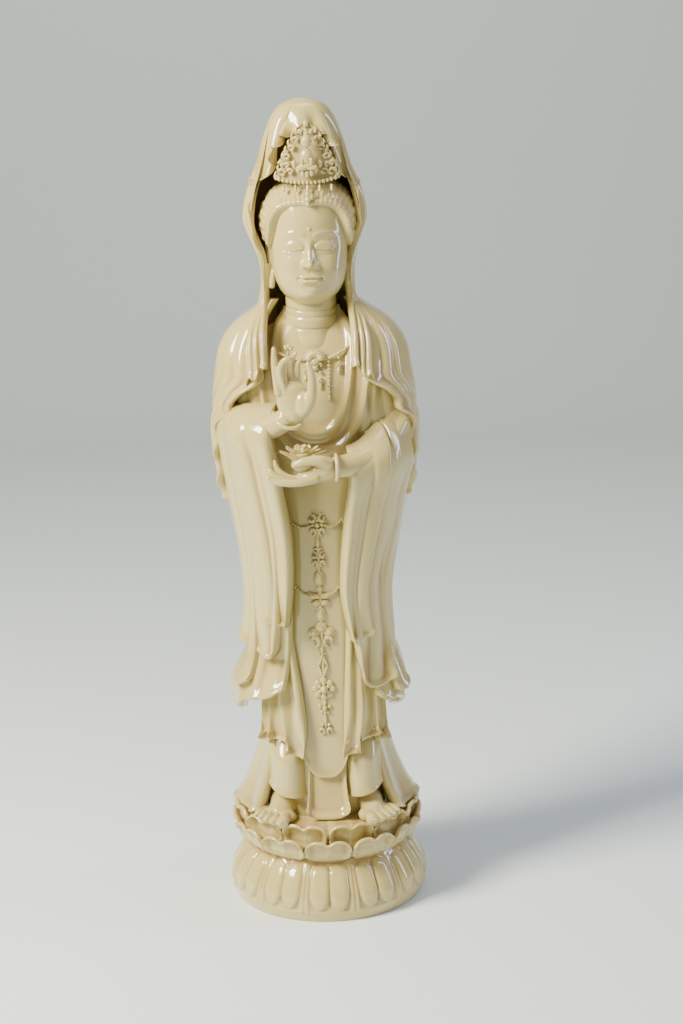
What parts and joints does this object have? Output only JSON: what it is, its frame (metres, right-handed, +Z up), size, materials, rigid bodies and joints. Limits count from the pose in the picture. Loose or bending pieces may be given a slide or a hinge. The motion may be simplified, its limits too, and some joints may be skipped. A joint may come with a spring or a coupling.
{
  "type": "guanyin figurine",
  "caption": "Standing guanyin figurine of cream-glazed porcelain: hooded and draped, one hand raised, the other holding a lotus, on a double lotus plinth",
  "frame": {"origin": "centre of the flat underside of the lotus plinth", "axes": "+Z up, -Y the way the figure faces, +X to the right as one looks at its face"},
  "size_m": [0.1288, 0.1272, 0.4995],
  "materials": {
    "cream_glaze": "glossy cream glaze over white porcelain, thin and yellow-brown where it pools in the hollows"
  },
  "bodies": {
    "root": {"guanyin_figurine": "cream_glaze"}
  },
  "joints": []
}
